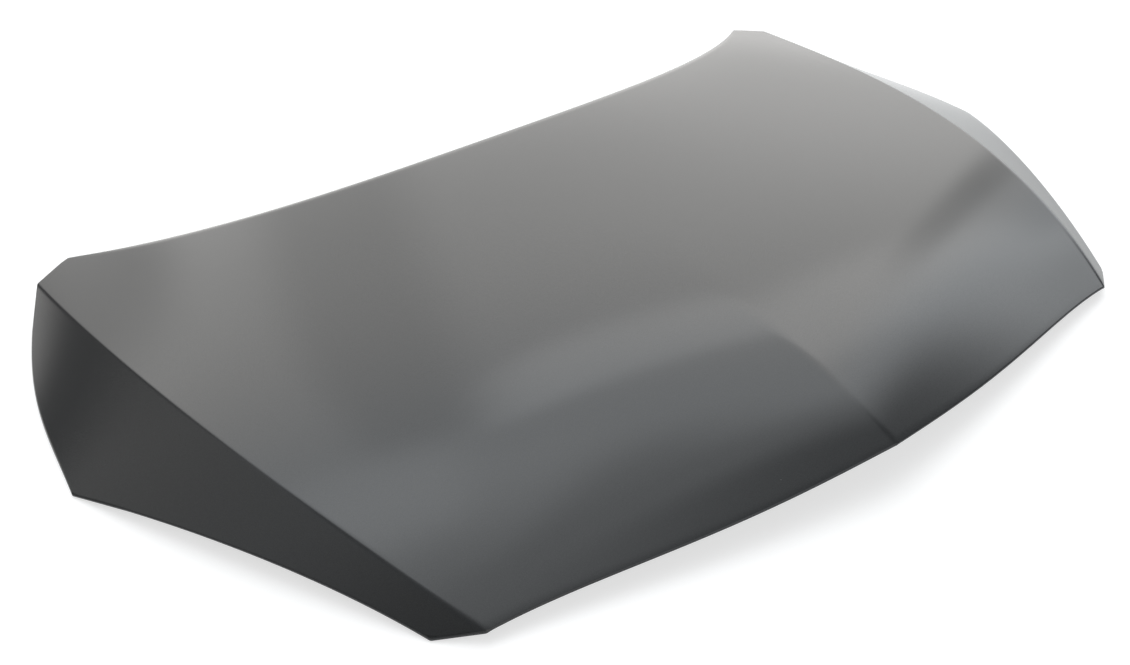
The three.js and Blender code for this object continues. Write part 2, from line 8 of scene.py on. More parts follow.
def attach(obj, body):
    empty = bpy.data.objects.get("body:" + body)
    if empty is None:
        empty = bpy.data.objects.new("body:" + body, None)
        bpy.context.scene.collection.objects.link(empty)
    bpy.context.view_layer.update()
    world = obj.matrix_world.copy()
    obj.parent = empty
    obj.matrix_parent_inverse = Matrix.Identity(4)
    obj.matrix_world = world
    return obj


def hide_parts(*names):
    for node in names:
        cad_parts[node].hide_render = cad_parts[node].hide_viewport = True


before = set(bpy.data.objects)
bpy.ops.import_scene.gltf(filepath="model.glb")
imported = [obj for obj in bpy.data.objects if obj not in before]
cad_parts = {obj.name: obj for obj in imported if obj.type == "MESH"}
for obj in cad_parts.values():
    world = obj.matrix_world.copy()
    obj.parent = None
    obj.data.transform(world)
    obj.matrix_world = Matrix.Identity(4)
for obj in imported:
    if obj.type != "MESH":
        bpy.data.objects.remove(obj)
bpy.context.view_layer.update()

# The studio: a pale floor under a white sky, a large soft box behind the bonnet that its black
# primer mirrors, and the camera in front of the left side and above, as in the photograph.
camera_place = Vector((-0.7941, -1.0974, 0.9243))
camera_heading = 0.56284
camera_dip = 0.63715
camera_roll = 0.06185
camera_lens = 38.23


def aimed(heading, dip, roll):
    forward = Vector((np.sin(heading) * np.cos(dip), np.cos(heading) * np.cos(dip), -np.sin(dip)))
    right = Vector((np.cos(heading), -np.sin(heading), 0))
    up = right.cross(forward)
    turned_right = right * np.cos(roll) - up * np.sin(roll)
    turned_up = right * np.sin(roll) + up * np.cos(roll)
    return Matrix((turned_right, turned_up, -forward)).transposed().to_4x4()


camera_data = bpy.data.cameras.new("camera")
camera_data.lens = camera_lens
camera_data.sensor_width = 36.0
camera = bpy.data.objects.new("camera", camera_data)
camera.matrix_world = Matrix.Translation(camera_place) @ aimed(camera_heading, camera_dip, camera_roll)
bpy.context.collection.objects.link(camera)
bpy.context.scene.camera = camera
bpy.context.scene.view_settings.view_transform = "Standard"


class Shader:
    """A node tree that is written down as nested calls."""

    def __init__(self, owner):
        owner.use_nodes = True
        self.tree = owner.node_tree
        self.tree.nodes.clear()

    def node(self, kind, settings=None, **inputs):
        made = self.tree.nodes.new(kind)
        for name, value in (settings or {}).items():
            setattr(made, name, value)
        for name, value in inputs.items():
            self.put(made.inputs[name.replace("_", " ")], value)
        return made

    def put(self, socket, value):
        if isinstance(value, bpy.types.NodeSocket):
            self.tree.links.new(value, socket)
        else:
            socket.default_value = value

    def math(self, operation, *values):
        made = self.tree.nodes.new("ShaderNodeMath")
        made.operation = operation
        for socket, value in zip(made.inputs, values):
            self.put(socket, value)
        return made.outputs[0]

    def noise(self, scale, detail=2.0, roughness=0.5, where=None):
        made = self.node("ShaderNodeTexNoise", Scale=scale, Detail=detail, Roughness=roughness)
        self.put(made.inputs["Vector"], where or self.place())
        return made.outputs["Fac"]

    def place(self, stretch=(1, 1, 1), shift=(0, 0, 0)):
        coordinates = self.node("ShaderNodeTexCoord").outputs["Object"]
        return self.node("ShaderNodeMapping", Vector=coordinates, Location=shift, Scale=stretch).outputs[0]

    def ramp(self, factor, stops, interpolation="LINEAR"):
        made = self.node("ShaderNodeValToRGB", Fac=factor)
        made.color_ramp.interpolation = interpolation
        elements = made.color_ramp.elements
        while len(elements) < len(stops):
            elements.new(0.5)
        for element, (position, color) in zip(elements, stops):
            element.position = position
            element.color = color if len(color) == 4 else (*color, 1)
        return made.outputs["Color"]

    def ranged(self, value, from_low, from_high, to_low, to_high, kind="LINEAR"):
        made = self.node("ShaderNodeMapRange", {"interpolation_type": kind}, Value=value)
        limits = {"From Min": from_low, "From Max": from_high, "To Min": to_low, "To Max": to_high}
        for name, number in limits.items():
            made.inputs[name].default_value = number
        return made.outputs[0]

    def mixed(self, factor, first, second):
        made = self.node("ShaderNodeMix", {"data_type": "RGBA"})
        self.put(made.inputs[0], factor)
        self.put(made.inputs[6], first)
        self.put(made.inputs[7], second)
        return made.outputs[2]

    def bump(self, height, distance, strength=1.0, normal=None):
        made = self.node("ShaderNodeBump", Height=height, Distance=distance, Strength=strength)
        if normal is not None:
            self.put(made.inputs["Normal"], normal)
        return made.outputs[0]

    def surface(self, **inputs):
        made = self.node("ShaderNodeBsdfPrincipled", **inputs)
        self.tree.links.new(made.outputs[0], self.node("ShaderNodeOutputMaterial").inputs["Surface"])
        return made


def material(name):
    made = bpy.data.materials.new(name)
    return made, Shader(made)


world = bpy.data.worlds.new("studio")
bpy.context.scene.world = world
sky = Shader(world)
# The lights of the sky are given by heading, from +Y towards +X, and height over the floor, in degrees.
dark_level = 0.15
box_level = 2.45
box_left = (0.970, 0.069, 0.232)
box_right = (-0.174, 0.985, 0.0)
box_softness = 0.11
box_fade = (64.0, 94.0)
strip_level = 3.45
strip_heading = (2.0, 30.0, 93.0, 106.0)
strip_width = (-20.0, -8.0, -2.0, 7.5)
strip_fall = 0.42
strip_height = 68.7
strip_end = (66.0, 80.0, 0.82)
overhead_level = 1.4
overhead_height = (56.0, 93.0)
horizon_level = 2.4
horizon_heading = (-44.0, -30.0, 8.0, 30.0)
horizon_height = (-9.0, -2.0, 8.0, 17.0)
side_level = 0.50
side_heading = (-125.0, -60.0, -34.0, -18.0)
side_height = (18.0, 30.0, 52.0, 66.0)
top_level = 0.45
top_heading = (-14.0, -4.0, 13.0, 24.0)
top_height = (54.0, 61.0, 71.0, 80.0)
rear_level = 1.15
rear_heading = (118.0, 150.0, 190.0, 200.0)
rear_height = (2.0, 15.0, 44.0, 60.0)
gaps = [
    (0.20, (7.0, 12.0, 18.0, 25.0), (14.0, 26.0, 54.0, 63.0)),
    (0.42, (-16.0, -10.0, 0.0, 5.0), (10.0, 16.0, 25.0, 34.0)),
    (0.34, (60.5, 63.0, 65.0, 68.0), (19.0, 24.0, 30.0, 36.0)),
    (0.30, (61.0, 64.0, 74.0, 79.0), (14.0, 19.0, 25.0, 28.5)),
    (0.34, (34.0, 46.0, 100.0, 120.0), (-9.0, -5.0, 6.0, 26.0)),
    (0.25, (76.0, 84.0, 100.0, 110.0), (10.0, 14.0, 26.0, 33.0)),
    (0.50, (30.0, 58.0, 72.0, 86.0), (60.0, 74.0, 100.0, 110.0)),
]
warm_light = (1.0, 0.990, 0.970, 1)
cool_light = (0.94, 0.975, 1.0, 1)
cool_height = (34.0, 62.0)
cool_heading = (60.0, 76.0)
floor_size = 24.0
floor_seen = (0.45, 0.45, 0.45, 1)
floor_glow = 0.62
seen = sky.node("ShaderNodeLightPath").outputs["Is Camera Ray"]
direction = sky.node("ShaderNodeTexCoord").outputs["Generated"]
way = sky.node("ShaderNodeSeparateXYZ", Vector=direction)
heading = sky.math("DEGREES", sky.math("ARCTAN2", way.outputs["X"], way.outputs["Y"]))
height = sky.math("DEGREES", sky.math("ARCSINE", way.outputs["Z"]))


def between(value, limits):
    """1 between the inner two of four limits, with soft edges out to the outer two."""
    rising = sky.ranged(value, limits[0], limits[1], 0, 1, "SMOOTHSTEP")
    falling = sky.ranged(value, limits[2], limits[3], 1, 0, "SMOOTHSTEP")
    return sky.math("MULTIPLY", rising, falling)


def light(level, headings, heights, along=height, round_from=heading):
    spread = sky.math("MULTIPLY", between(round_from, headings), between(along, heights))
    return sky.math("MULTIPLY", spread, level)


def beside(normal):
    """1 on the side of a plane through the bonnet that its normal points to."""
    made = sky.node("ShaderNodeVectorMath", {"operation": "DOT_PRODUCT"})
    sky.put(made.inputs[0], direction)
    made.inputs[1].default_value = normal
    return sky.ranged(made.outputs["Value"], -box_softness, box_softness, 0, 1, "SMOOTHSTEP")


soft_box = sky.math("MULTIPLY", sky.math("MULTIPLY", beside(box_left), beside(box_right)), box_level)
soft_box = sky.math("MULTIPLY", soft_box, sky.ranged(height, *box_fade, 1, 0, "SMOOTHSTEP"))
to_strip = sky.math("SUBTRACT", sky.math("MULTIPLY_ADD", heading, strip_fall, height), strip_height)
strip = light(strip_level, strip_heading, strip_width, along=to_strip)
strip_weaker = sky.ranged(heading, strip_end[0], strip_end[1], 1, strip_end[2], "SMOOTHSTEP")
strip = sky.math("MULTIPLY", strip, strip_weaker)
level = sky.math("MAXIMUM", soft_box, strip)
for depth, headings, heights in gaps:
    level = sky.math("MULTIPLY", level, sky.math("SUBTRACT", 1, light(depth, headings, heights)))
level = sky.math("ADD", level, sky.ranged(height, *overhead_height, 0, overhead_level, "SMOOTHSTEP"))
level = sky.math("ADD", level, light(horizon_level, horizon_heading, horizon_height))
level = sky.math("ADD", level, light(side_level, side_heading, side_height))
level = sky.math("ADD", level, light(top_level, top_heading, top_height))
from_front = sky.math("ABSOLUTE", heading)
level = sky.math("ADD", level, light(rear_level, rear_heading, rear_height, round_from=from_front))
level = sky.math("ADD", level, dark_level)
strength = sky.math("MAXIMUM", seen, sky.math("MULTIPLY", level, sky.math("SUBTRACT", 1, seen)))
cool_above = sky.ranged(height, *cool_height, 0, 1, "SMOOTHSTEP")
cool_beyond = sky.ranged(heading, *cool_heading, 0, 1, "SMOOTHSTEP")
tint = sky.mixed(sky.math("MAXIMUM", cool_above, cool_beyond), warm_light, cool_light)
sky_light = sky.node("ShaderNodeBackground", Color=sky.mixed(seen, tint, (1, 1, 1, 1)), Strength=strength)
sky.tree.links.new(sky_light.outputs[0], sky.node("ShaderNodeOutputWorld").inputs["Surface"])

floor_mesh = bpy.data.meshes.new("floor")
half = floor_size / 2
floor_corners = [(-half, -half, 0), (half, -half, 0), (half, half, 0), (-half, half, 0)]
floor_mesh.from_pydata(floor_corners, [], [(0, 1, 2, 3)])
floor = bpy.data.objects.new("floor", floor_mesh)
bpy.context.collection.objects.link(floor)
floor_paint, shader = material("floor")
# To the camera the floor is as white as the sky round it, and it keeps a little of the shadow.
to_camera = shader.node("ShaderNodeLightPath").outputs["Is Camera Ray"]
pale = shader.ramp(shader.noise(40.0), [(0.0, (0.92, 0.92, 0.92)), (1.0, (0.94, 0.94, 0.94))])
shader.surface(
    Base_Color=shader.mixed(to_camera, pale, floor_seen),
    Roughness=0.8,
    Emission_Color=(1, 1, 1, 1),
    Emission_Strength=shader.math("MULTIPLY", to_camera, floor_glow),
)
floor_mesh.materials.append(floor_paint)

# Outer skin: one deep-drawn steel sheet, 0.75 mm. A crisp crease divides the crowned main panel
# from each flank, and a soft ridge runs back from the nose. The edge is folded back all round
# over the flange of the inner frame, and the whole is dipped in black primer.
nose_y = -0.485291
lower_corner_z = 0.003572
crease_front = (0.469, 0.077)
crease_rear = (0.661, 0.944)
front_corner = (0.514, 0.110)
outer_corner = (0.740, 0.531)
rear_corner = (0.610, 0.972)
rear_centre_y = 0.7925
front_edge_bow = (-0.019, -0.038, 0.028)
lower_edge_bow = (-0.014, -0.002, 0.0015)
rear_flank_bow = (0.056, 0.122, 0.114)
rear_edge_fullness = 0.54
outline_radius = 0.007
nose_height = 0.050
rear_height = 0.104
centre_bow = (0.235, 0.029, 0.049)
crease_heights = (0.011, 0.033)
crease_height_bow = (0.253, 0.163, 0.098)
crease_plan_bow = (0.201, 0.131, 0.117)
flank_slopes = (0.709, 0.679)
flank_slope_bow = (-0.592, -1.22, -0.27)
flank_hollow = 0.12
nose_crease_length = 0.610
rear_roll_width = 0.014
rear_roll_drop = 0.0014
crease_softness = 0.0026
crease_softness_front = 0.006
ridge_softness = 0.004
ridge_softness_rear = 0.090
ridge_fading = 2.4
skin_thickness = 0.00075
hem_depth = 0.0029
hem_return = 0.010


def bowed(t, start, end, bow):
    bend = bow[0] * (1 - t) ** 2 + 2 * bow[1] * t * (1 - t) + bow[2] * t * t
    return start + (end - start) * t + t * (1 - t) * bend


def along_crease(y):
    return (y - crease_front[1]) / (crease_rear[1] - crease_front[1])


def crease_x(y):
    return bowed(along_crease(y), crease_front[0], crease_rear[0], crease_plan_bow)


def rear_edge_y(x):
    share = (x / rear_corner[0]) ** 2
    sweep = rear_edge_fullness * share + (1 - rear_edge_fullness) * share * share
    return rear_centre_y + (rear_corner[1] - rear_centre_y) * sweep


def softened(distance, softness, turn):
    """How far a rounded bend of that half width lies under the sharp one."""
    return turn * np.maximum(0, softness - np.abs(distance)) ** 2 / (4 * softness)


def crease_height(y):
    return bowed(along_crease(y), *crease_heights, crease_height_bow)


def centre_rise(y):
    return bowed(y / rear_centre_y, nose_height, rear_height, centre_bow) - crease_height(y)


def flank_slope(y):
    return bowed(along_crease(y), *flank_slopes, flank_slope_bow)


def ridge_share(y):
    return np.maximum(0, 1 - y / nose_crease_length) ** 2


def main_height(x, y):
    """Outer face of the crowned main panel, whose crown turns into a roof at the nose."""
    share = np.abs(x) / crease_x(y)
    ridge = ridge_share(y)
    into_roll = np.maximum(0, 1 - (rear_edge_y(x) - y) / rear_roll_width)
    roll = rear_roll_drop * np.maximum(0, 1 - (x / rear_corner[0]) ** 6) * into_roll**2
    back = np.clip(y / nose_crease_length, 0, 1)
    ridge_width = ridge_softness + (ridge_softness_rear - ridge_softness) * back**ridge_fading
    ridge_bend = softened(x, ridge_width, 2 * centre_rise(y) * ridge / crease_x(y))
    fall = ridge * share + (1 - ridge) * share**2
    return crease_height(y) + centre_rise(y) * (1 - fall) - roll - ridge_bend


def flank_height(x, y):
    out = np.abs(x) - crease_x(y)
    return crease_height(y) - flank_slope(y) * out + flank_hollow * out**2


def outer_height(x, y):
    out = np.abs(x) - crease_x(y)
    share_front = np.clip(1 - along_crease(y), 0, 1)
    softness = crease_softness + (crease_softness_front - crease_softness) * share_front**3
    turn = flank_slope(y) - centre_rise(y) * (2 - ridge_share(y)) / crease_x(y)
    sharp = np.where(out > 0, flank_height(x, y), main_height(x, y))
    return sharp - softened(out, softness, turn)


def slopes(height, x, y, step=0.001):
    return (
        (height(x + step, y) - height(x - step, y)) / (2 * step),
        (height(x, y + step) - height(x, y - step)) / (2 * step),
    )


def under(height, x, y, depth):
    """Height of a point that lies a given depth under a face, square to it."""
    slope_x, slope_y = slopes(height, x, y)
    return height(x, y) - depth * np.sqrt(1 + slope_x**2 + slope_y**2)


def edge_between(start, end, bow=(0, 0, 0)):
    return lambda t: np.stack([bowed(t, start[0], end[0], bow), start[1] + (end[1] - start[1]) * t], -1)


def front_edge(t):
    return np.stack([crease_front[0] * t, bowed(t, 0, crease_front[1], front_edge_bow)], -1)


def rear_edge(t):
    x = rear_corner[0] * (1 - t)
    return np.stack([x, rear_edge_y(x)], -1)


right_edges = [
    (front_edge, 60),
    (edge_between(crease_front, front_corner), 10),
    (edge_between(front_corner, outer_corner, lower_edge_bow), 60),
    (edge_between(outer_corner, crease_rear, rear_flank_bow), 54),
    (edge_between(crease_rear, rear_corner), 10),
    (rear_edge, 80),
]
left_edges = [((lambda t, run=run: run(1 - t) * (-1, 1)), steps) for run, steps in reversed(right_edges)]
outline_edges = right_edges + left_edges
corner_steps = 10


def way_along(run, t):
    step = np.where(np.asarray(t) < 0.5, 0.001, -0.001)
    way = (run(t + step) - run(t)) * np.sign(step)[..., None]
    return way / np.linalg.norm(way, axis=-1, keepdims=True)


def inside(run, t, inset):
    way = way_along(run, t)
    return run(t) + inset * np.stack([-way[..., 1], way[..., 0]], -1)


def ring_inside(edges, inset, radius):
    """A chain of edges moved inwards, with rounded corners. Every ring has the same number of points."""
    count = len(edges)
    following = [edges[(k + 1) % count][0] for k in range(count)]
    lengths = [np.linalg.norm(run(1.0) - run(0.0)) for run, steps in edges]
    cutbacks, roundings = [], []
    for (run, steps), after in zip(edges, following):
        leaving, arriving = way_along(run, 1.0), way_along(after, 0.0)
        half_turn = np.arctan2(leaving[0] * arriving[1] - leaving[1] * arriving[0], leaving @ arriving) / 2
        cutbacks.append(inset * np.tan(half_turn))
        roundings.append(radius * abs(np.tan(half_turn)))
    ring = []
    for k, ((run, steps), after) in enumerate(zip(edges, following)):
        next_length = lengths[(k + 1) % count]
        first = (cutbacks[k - 1] + roundings[k - 1]) / lengths[k]
        last = 1 - (cutbacks[k] + roundings[k]) / lengths[k]
        ring.extend(inside(run, np.linspace(first, last, steps + 1), inset))
        corner = inside(run, 1 - cutbacks[k] / lengths[k], inset)
        corner = corner + inside(after, cutbacks[k] / next_length, inset)
        arrival = inside(after, (cutbacks[k] + roundings[k]) / next_length, inset)
        t = (np.arange(1, corner_steps) / corner_steps)[:, None]
        ring.extend(ring[-1] * (1 - t) ** 2 + corner * t * (1 - t) + arrival * t * t)
    return np.array(ring)


def outline_ring(inset, radius=outline_radius):
    return ring_inside(outline_edges, inset, radius)


def on_ring(ring, index):
    """Points at part steps along a closed ring."""
    closed = np.vstack([ring, ring[:1]])
    steps = np.arange(len(closed))
    index = np.mod(index, len(ring))
    return np.stack([np.interp(index, steps, closed[:, k]) for k in (0, 1)], -1)


def mesh_piece(name, points, faces, sharp=0.6):
    """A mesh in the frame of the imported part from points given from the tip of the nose."""
    mesh = bpy.data.meshes.new(name)
    placed = np.asarray(points) + (0, nose_y, lower_corner_z)
    mesh.from_pydata(placed.tolist(), [], [tuple(face) for face in faces])
    mesh.validate()
    mesh.shade_smooth()
    mesh.set_sharp_from_angle(angle=sharp)
    piece = bpy.data.objects.new(name, mesh)
    bpy.context.collection.objects.link(piece)
    return piece


fold_radius = hem_depth / 2
border = outline_ring(fold_radius)
half_ring = len(border) // 2
border_index = np.arange(half_ring)
border_share = border[:half_ring, 0] / crease_x(border[:half_ring, 1])
flank_part = np.flatnonzero(border_share > 1)
to_flank = slice(flank_part[0] - 1, flank_part[0] + 1)
from_flank = slice(flank_part[-1] + 1, flank_part[-1] - 1, -1)
front_end = np.interp(1, border_share[to_flank], border_index[to_flank])
rear_end = np.interp(1, border_share[from_flank], border_index[from_flank])

near_bend = np.array([0, 0.5, 1, 1.6, 2.3, 3.2, 4.5, 6.5, 9.5, 14, 20]) / 1000
near_ridge = np.array([0, 1, 2, 3.5, 6, 10, 16, 24, 34, 45]) / 1000
middle_columns = 52
half_width = crease_x(0.45)
columns = np.concatenate([
    near_ridge / half_width,
    np.linspace(0.055 / half_width, 1 - 0.028 / half_width, middle_columns),
    (1 - near_bend / half_width)[::-1],
])
columns = np.concatenate([-columns[:0:-1], columns])
rear_rows = np.array([0, 1.5, 3, 4.5, 6.5, 8.5, 10.5, 12.5, 14.5, 17.5, 22]) / 800
rows = np.concatenate([np.linspace(0, 1 - 0.030 / 0.8, 96), (1 - rear_rows)[::-1]])

front_index = np.arange(-np.ceil(front_end), np.ceil(front_end) + 1)
front_share = on_ring(border, front_index)
front_share = front_share[:, 0] / crease_x(front_share[:, 1])
front_at = np.interp(columns, front_share, front_index)
rear_index = np.arange(np.floor(rear_end), 2 * half_ring - np.floor(rear_end) + 1)
rear_share = on_ring(border, rear_index)
rear_share = rear_share[:, 0] / crease_x(rear_share[:, 1])
rear_at = np.interp(-columns, -rear_share, rear_index)

start_y = on_ring(border, front_at)[:, 1]
end_y = on_ring(border, rear_at)[:, 1]
main_y = start_y[None, :] + (end_y - start_y)[None, :] * rows[:, None]
main_x = columns[None, :] * crease_x(main_y)

flank_parts = np.array([
    0, 0.006, 0.012, 0.02, 0.032, 0.05, 0.08, 0.13, 0.2, 0.3, 0.42, 0.56, 0.7, 0.84, 0.94, 1,
])
side_index = np.arange(np.floor(front_end), np.ceil(rear_end) + 1)
side_y = on_ring(border, side_index)[:, 1]
edge_y = main_y[:, -1]
edge_at = np.interp(edge_y, side_y, side_index)
edge_x = on_ring(border, edge_at)[:, 0]
flank_x = main_x[:, -1:] + (edge_x - main_x[:, -1])[:, None] * flank_parts[None, 1:]
flank_y = np.repeat(edge_y[:, None], len(flank_parts) - 1, 1)

grid_x = np.hstack([-flank_x[:, ::-1], main_x, flank_x])
grid_y = np.hstack([flank_y, main_y, flank_y])
row_count, column_count = grid_x.shape

# Where each point of the folded hem lies on the border, once round from the left front corner. The
# left half is mirrored without counting the corner_steps at the nose, so the seam there isn't closed.
grid_places = np.stack([grid_x, grid_y], -1)
border_where = np.concatenate([front_at, edge_at[1:-1], rear_at[::-1], 2 * half_ring - edge_at[-2:0:-1]])


def height_field(places, depth):
    places = places.reshape(-1, 2)
    return np.column_stack([places, under(outer_height, places[:, 0], places[:, 1], depth)])


fold = np.linspace(0, np.pi, 9)
inner_radius = fold_radius - skin_thickness
hem_inside = hem_depth - skin_thickness
hem_end = skin_thickness + hem_return
hem_section = [
    *zip(fold_radius - fold_radius * np.sin(fold), fold_radius - fold_radius * np.cos(fold)),
    (0.6 * hem_end, hem_depth),
    (hem_end, hem_depth),
    (hem_end, hem_inside),
    (0.6 * hem_end, hem_inside),
    *zip(fold_radius - inner_radius * np.sin(fold), fold_radius + inner_radius * np.cos(fold)),
]
skin_points = [height_field(grid_places, 0)]
skin_faces = []
for k in range(row_count - 1):
    for n in range(column_count - 1):
        a = k * column_count + n
        skin_faces.append((a, a + 1, a + 1 + column_count, a + column_count))
grid_count = row_count * column_count
underside = [tuple(grid_count + corner for corner in reversed(face)) for face in skin_faces]
skin_faces += underside
skin_points.append(height_field(grid_places, skin_thickness))
first_in_loop = 2 * grid_count
for inset, depth in hem_section:
    skin_points.append(height_field(on_ring(outline_ring(inset), border_where), depth))
loop = len(border_where)
for k in range(len(hem_section) - 1):
    here = first_in_loop + k * loop
    for n in range(loop):
        after = (n + 1) % loop
        skin_faces.append((here + loop + n, here + loop + after, here + after, here + n))


def welded(piece, distance=3e-6):
    shape = bmesh.new()
    shape.from_mesh(piece.data)
    bmesh.ops.remove_doubles(shape, verts=shape.verts, dist=distance)
    bmesh.ops.dissolve_degenerate(shape, edges=shape.edges, dist=1e-7)
    shape.to_mesh(piece.data)
    shape.free()


outer_skin = mesh_piece("bonnet_skin", np.vstack(skin_points), skin_faces)
welded(outer_skin)
outer_skin.data.shade_smooth()
outer_skin.data.set_sharp_from_angle(angle=0.9)

primer, shader = material("black_primer")
cloud = shader.noise(2.2, detail=2.0)
peel = shader.noise(420.0, detail=1.0)
pigment = shader.noise(1500.0, detail=1.0)
coat = shader.ramp(pigment, [(0.3, (0.017, 0.018, 0.019)), (0.7, (0.029, 0.030, 0.031))])
speck = shader.node("ShaderNodeTexVoronoi", Scale=16.0, Vector=shader.place())
speck_draw = shader.node("ShaderNodeSeparateColor", Color=speck.outputs["Color"]).outputs["Red"]
speck_size = shader.ranged(speck_draw, 0.86, 1.0, 0.0, 0.018)
dust = shader.math("MULTIPLY", shader.math("LESS_THAN", speck.outputs["Distance"], speck_size), 0.6)
polish = shader.ranged(cloud, 0.0, 1.0, 0.09, 0.15)
shader.surface(
    Base_Color=shader.mixed(dust, coat, (0.42, 0.42, 0.40, 1)),
    Roughness=shader.math("ADD", polish, shader.math("MULTIPLY", dust, 0.6)),
    IOR=1.5,
    Normal=shader.bump(peel, 0.00002, 0.2),
)
outer_skin.data.materials.append(primer)
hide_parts("outer_skin")
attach(outer_skin, "root")

# Inner frame: one pressed steel sheet, 0.7 mm, whose flange is trapped in the hem. It steps down to
# a floor 20 mm under the skin, and twelve windows with raised lands leave ribs in a fan. Flat pads
# take the hinges and the lock, with the dents of the spot welds that hold their plates.
frame_thickness = 0.0007
seat_gap = 0.00035
flange_depth = skin_thickness + seat_gap
floor_depth = 0.020
land_depth = 0.0046
rim_profile = [(flange_depth, flange_depth), (0.014, flange_depth), (0.028, 0.009), (0.050, floor_depth),
               (0.052, floor_depth)]
rim_radii = ([0.014, 0.028, 0.052], [0.007, 0.014, 0.005])
land_profile = [(0, land_depth), (0.0065, land_depth), (0.013, land_depth), (0.024, floor_depth),
                (0.0265, floor_depth)]
bend_radius = 0.004
bend_steps = 5
rib_half_width = 0.033
window_radius = 0.030
widest_foot_radius = 0.050
window_swell = 0.002
window_columns = 3
window_rows = 2
window_front = 0.18
window_rear = 0.88
window_side = 0.84
window_steps = 12
rib_hole_radius = 0.008
prop_slot = (-0.300, 0.145)
prop_slot_radius = 0.008
prop_slot_length = 0.030
hinge_pad = (0.588, 0.798)
hinge_pad_size = (0.050, 0.108)
hinge_bolt_spacing = 0.070
hinge_bolt_radius = 0.0045
latch_pad = (0.0, 0.102)
latch_pad_size = (0.120, 0.050)
striker_leg_spacing = 0.046
striker_hole_radius = 0.00575
pad_rise = 0.002
pad_ramp = 0.006
pad_radius = 0.012
weld_radius = 0.0032
weld_dent = 0.00018
hinge_welds = [(-0.014, -0.014), (0.014, -0.014), (-0.014, 0.014), (0.014, 0.014)]
latch_welds = [(-0.047, -0.012), (-0.047, 0.012), (0.047, -0.012), (0.047, 0.012), (0, -0.014), (0, 0.014)]
crease_blend = 0.004
softening_depth = 0.004
crease_clearance = 0.004
line_clearance = 0.0025
floor_spacing = 0.010
crease_lines = np.array([-0.022, -0.018, -0.015, -0.013, -0.011, -0.009, -0.007, -0.004, 0.001])


def rounded(profile, radius):
    """A profile line with its inner corners rounded off."""
    profile = [np.array(point, float) for point in profile]
    line = [profile[0]]
    for before, corner, after in zip(profile, profile[1:], profile[2:]):
        back = (before - corner) / np.linalg.norm(before - corner)
        onward = (after - corner) / np.linalg.norm(after - corner)
        cut = radius * np.tan(np.arccos(np.clip(-back @ onward, -1, 1)) / 2)
        if cut < 1e-6:
            line.append(corner)
            continue
        for t in np.linspace(0, 1, bend_steps):
            line.append(corner + back * cut * (1 - t) ** 2 + onward * cut * t * t)
    return line + [profile[-1]]


def frame_height(x, y, depth):
    """The pressing follows the skin at a depth, and turns under the crease in one soft bend."""
    main, flank = under(main_height, x, y, depth), under(flank_height, x, y, depth)
    blend = np.maximum(0, crease_blend - np.abs(main - flank)) ** 2 / (4 * crease_blend)
    deep = np.minimum(main, flank) - blend
    share = np.clip((depth - flange_depth) / softening_depth, 0, 1)
    return under(outer_height, x, y, depth) * (1 - share) + deep * share


def out_of_box(x, y, centre, size, radius):
    """How far a place lies outside a rounded rectangle."""
    beyond_x = np.abs(x - centre[0]) - size[0] / 2 + radius
    beyond_y = np.abs(y - centre[1]) - size[1] / 2 + radius
    outside = np.hypot(np.maximum(beyond_x, 0), np.maximum(beyond_y, 0))
    return outside + np.minimum(np.maximum(beyond_x, beyond_y), 0) - radius


def box_ring(centre, size, radius, steps=6):
    points = []
    for quarter, (side_x, side_y) in enumerate([(1, 1), (-1, 1), (-1, -1), (1, -1)]):
        angles = np.pi / 2 * (quarter + np.linspace(0, 1, steps + 1))
        x = centre[0] + side_x * (size[0] / 2 - radius)
        y = centre[1] + side_y * (size[1] / 2 - radius)
        points.extend(np.column_stack([x + radius * np.cos(angles), y + radius * np.sin(angles)]))
    return np.array(points)


def circle(centre, radius, sides=32):
    angles = 2 * np.pi * (np.arange(sides) + 0.5) / sides
    return np.column_stack([centre[0] + radius * np.cos(angles), centre[1] + radius * np.sin(angles)])


class Pad:
    """A flat place in the floor, tangent to it at its centre and a little higher."""

    def __init__(self, centre, size, holes, hole_radius, welds):
        self.centre, self.size, self.hole_radius = centre, size, hole_radius
        self.holes = [(centre[0] + x, centre[1] + y) for x, y in holes]
        self.welds = [(centre[0] + x, centre[1] + y) for x, y in welds]
        self.slope = [float(slope) for slope in slopes(outer_height, *centre)]
        self.height = float(under(outer_height, *centre, floor_depth - pad_rise))
        self.normal = Vector((-self.slope[0], -self.slope[1], 1)).normalized()

    def plane(self, x, y, above=0.0):
        rise = self.slope[0] * (x - self.centre[0]) + self.slope[1] * (y - self.centre[1])
        return self.height + rise + above / self.normal.z


hinge_holes = [(0, -hinge_bolt_spacing / 2), (0, hinge_bolt_spacing / 2)]
hinge_pads = [
    Pad((side * hinge_pad[0], hinge_pad[1]), hinge_pad_size, hinge_holes, hinge_bolt_radius, hinge_welds)
    for side in (-1, 1)
]
striker_legs = [(-striker_leg_spacing / 2, 0), (striker_leg_spacing / 2, 0)]
lock_pad = Pad(latch_pad, latch_pad_size, striker_legs, striker_hole_radius, latch_welds)
pads = hinge_pads + [lock_pad]


def floor_height(x, y):
    height = frame_height(x, y, floor_depth)
    for pad in pads:
        out = np.clip(out_of_box(x, y, pad.centre, pad.size, pad_radius) / pad_ramp, 0, 1)
        share = 1 - out * out * (3 - 2 * out)
        height = height * (1 - share) + pad.plane(x, y) * share
        for weld_x, weld_y in pad.welds:
            near = np.clip(1.5 - np.hypot(x - weld_x, y - weld_y) / weld_radius, 0, 0.5) * 2
            height = height + weld_dent * near * near * (3 - 2 * near)
    return height


